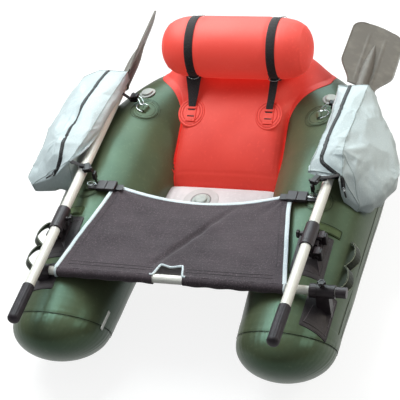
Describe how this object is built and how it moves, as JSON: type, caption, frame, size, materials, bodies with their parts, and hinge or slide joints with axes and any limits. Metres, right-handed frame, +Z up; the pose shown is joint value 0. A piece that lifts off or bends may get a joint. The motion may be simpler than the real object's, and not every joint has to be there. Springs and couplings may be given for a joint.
{
  "type": "float tube",
  "caption": "U-shaped inflatable seat craft for sitting in water, with a lap apron on a bar, a reclined back cushion with a roll, stowed oars and side bags.",
  "frame": {"origin": "on the ground, under the middle of the craft's length and width", "axes": "+Z up, +Y from the bows to the backrest, +X to the craft's right as seen from the bows"},
  "size_m": [1.2316, 1.5207, 0.6069],
  "materials": {
    "tube_green": "satin",
    "cushion_red": "satin",
    "seat_white": "satin",
    "apron_grey": "matte",
    "bag_white": "matte",
    "webbing_black": "matte",
    "hard_plastic": "satin",
    "patch_brown": "matte",
    "white_metal": "satin",
    "bright_metal": "polished",
    "grip_rubber": "matte",
    "blade_grey": "satin",
    "valve_grey": "satin"
  },
  "bodies": {
    "hull": {"u_tube": "tube_green", "seat": "seat_white", "backrest": "cushion_red", "back_roll": "cushion_red", "roll_strap_right": "webbing_black", "roll_strap_left": "webbing_black", "tube_valve_right_flange": "valve_grey", "tube_valve_left_flange": "valve_grey", "seat_valve_flange": "valve_grey", "rear_patch_right": "tube_green", "apron_anchor_right": "tube_green", "rear_patch_left": "tube_green", "apron_anchor_left": "tube_green", "bar_clamp": "hard_plastic", "bar_socket": "hard_plastic", "buckle_socket_right": "hard_plastic", "buckle_socket_left": "hard_plastic", "oarlock_patch_right": "patch_brown", "bar_patch_right": "patch_brown", "handle_flap_right": "tube_green", "side_webbing_right": "webbing_black", "oarlock_patch_left": "patch_brown", "bar_patch_left": "patch_brown", "handle_flap_left": "tube_green", "side_webbing_left": "webbing_black", "oarlock_bracket_right": "hard_plastic", "oarlock_bracket_left": "hard_plastic", "side_bag_right": "bag_white", "front_clip_right": "hard_plastic", "rear_clip_right": "hard_plastic", "side_bag_left": "bag_white", "front_clip_left": "hard_plastic", "rear_clip_left": "hard_plastic"},
    "bar_slider": {"bar": "white_metal", "bar_cap": "hard_plastic"},
    "apron": {"apron": "apron_grey", "buckle_plug_left": "hard_plastic", "buckle_plug_right": "hard_plastic"},
    "clamp_screw": {"clamp_screw": "hard_plastic"},
    "seat_valve_cap": {"seat_valve_cap": "valve_grey"},
    "rear_ring_right": {"rear_ring_right": "bright_metal"},
    "tube_valve_cap_right": {"tube_valve_right_cap": "valve_grey"},
    "pivot_right": {"oarlock_pivot_right": "hard_plastic"},
    "sleeve_right": {"oarlock_sleeve_right": "hard_plastic"},
    "sleeve_screw_right": {"sleeve_screw_right": "hard_plastic"},
    "collar_right": {"oar_collar_right": "hard_plastic"},
    "oar_right": {"oar_shaft_right": "white_metal", "oar_grip_right": "grip_rubber", "oar_blade_right": "blade_grey"},
    "blade_button_right": {"blade_button_right": "bright_metal"},
    "rear_ring_left": {"rear_ring_left": "bright_metal"},
    "tube_valve_cap_left": {"tube_valve_left_cap": "valve_grey"},
    "pivot_left": {"oarlock_pivot_left": "hard_plastic"},
    "sleeve_left": {"oarlock_sleeve_left": "hard_plastic"},
    "sleeve_screw_left": {"sleeve_screw_left": "hard_plastic"},
    "collar_left": {"oar_collar_left": "hard_plastic"},
    "oar_left": {"oar_shaft_left": "white_metal", "oar_grip_left": "grip_rubber", "oar_blade_left": "blade_grey"},
    "blade_button_left": {"blade_button_left": "bright_metal"}
  },
  "joints": [
    {"name": "bar_slide", "type": "slide", "parent": "hull", "child": "bar_slider", "axis": [1, 0, 0], "range_m": [0, 0.08]},
    {"name": "apron_lift", "type": "hinge", "parent": "hull", "child": "apron", "pos_m": [0, -0.48992, 0.3245], "axis": [1, 0, 0], "range_deg": [0, 100]},
    {"name": "clamp_screw_turn", "type": "hinge", "parent": "hull", "child": "clamp_screw", "pos_m": [0.4745, -0.48992, 0.348], "axis": [0, 0, 1], "continuous": true},
    {"name": "seat_valve_turn", "type": "hinge", "parent": "hull", "child": "seat_valve_cap", "pos_m": [-0.055, 0.00508, 0.2033], "axis": [0, 0, 1], "continuous": true},
    {"name": "rear_ring_lift_right", "type": "hinge", "parent": "hull", "child": "rear_ring_right", "pos_m": [0.30498, 0.28006, 0.364], "axis": [0.3276, -0.9448, 0], "range_deg": [0, 160]},
    {"name": "tube_valve_turn_right", "type": "hinge", "parent": "hull", "child": "tube_valve_cap_right", "pos_m": [0.3267, 0.37275, 0.35752], "axis": [0.1374, 0.0747, 0.9877], "continuous": true},
    {"name": "oar_tilt_right", "type": "hinge", "parent": "hull", "child": "pivot_right", "pos_m": [0.41578, -0.31133, 0.33192], "axis": [0.0136, 0.9962, 0.0856], "range_deg": [-15, 20]},
    {"name": "oar_swing_right", "type": "hinge", "parent": "pivot_right", "child": "sleeve_right", "pos_m": [0.403, -0.30992, 0.37652], "axis": [0, 0, -1], "range_deg": [0, 120], "deforming": ["side_bag_right"]},
    {"name": "oar_feather_right", "type": "hinge", "parent": "sleeve_right", "child": "collar_right", "pos_m": [0.403, -0.30992, 0.37652], "axis": [0.0227, 0.9997, 0], "range_deg": [-30, 40]},
    {"name": "oar_slide_right", "type": "slide", "parent": "collar_right", "child": "oar_right", "axis": [0.0227, 0.9997, 0], "range_m": [-0.03, 0.24]},
    {"name": "blade_button_press_right", "type": "slide", "parent": "oar_right", "child": "blade_button_right", "axis": [0.4225, -0.0096, 0.9063], "range_m": [-0.003, 0], "stiffness_N_per_m": 300},
    {"name": "sleeve_screw_turn_right", "type": "hinge", "parent": "sleeve_right", "child": "sleeve_screw_right", "pos_m": [0.37851, -0.30936, 0.37652], "axis": [-0.9997, 0.0227, 0], "continuous": true},
    {"name": "rear_ring_lift_left", "type": "hinge", "parent": "hull", "child": "rear_ring_left", "pos_m": [-0.30498, 0.28006, 0.364], "axis": [0.3276, 0.9448, 0], "range_deg": [0, 160]},
    {"name": "tube_valve_turn_left", "type": "hinge", "parent": "hull", "child": "tube_valve_cap_left", "pos_m": [-0.3267, 0.37275, 0.35752], "axis": [-0.1374, 0.0747, 0.9877], "continuous": true},
    {"name": "oar_tilt_left", "type": "hinge", "parent": "hull", "child": "pivot_left", "pos_m": [-0.41578, -0.31133, 0.33192], "axis": [0.0136, -0.9962, -0.0856], "range_deg": [-15, 20]},
    {"name": "oar_swing_left", "type": "hinge", "parent": "pivot_left", "child": "sleeve_left", "pos_m": [-0.403, -0.30992, 0.37652], "axis": [0, 0, 1], "range_deg": [0, 120], "deforming": ["side_bag_left"]},
    {"name": "oar_feather_left", "type": "hinge", "parent": "sleeve_left", "child": "collar_left", "pos_m": [-0.403, -0.30992, 0.37652], "axis": [0.0227, -0.9997, 0], "range_deg": [-70, 8]},
    {"name": "oar_slide_left", "type": "slide", "parent": "collar_left", "child": "oar_left", "axis": [-0.0227, 0.9997, 0], "range_m": [-0.03, 0.24]},
    {"name": "blade_button_press_left", "type": "slide", "parent": "oar_left", "child": "blade_button_left", "axis": [-0.8986, -0.0204, 0.4384], "range_m": [-0.003, 0], "stiffness_N_per_m": 300},
    {"name": "sleeve_screw_turn_left", "type": "hinge", "parent": "sleeve_left", "child": "sleeve_screw_left", "pos_m": [-0.37851, -0.30936, 0.37652], "axis": [0.9997, 0.0227, 0], "continuous": true}
  ]
}
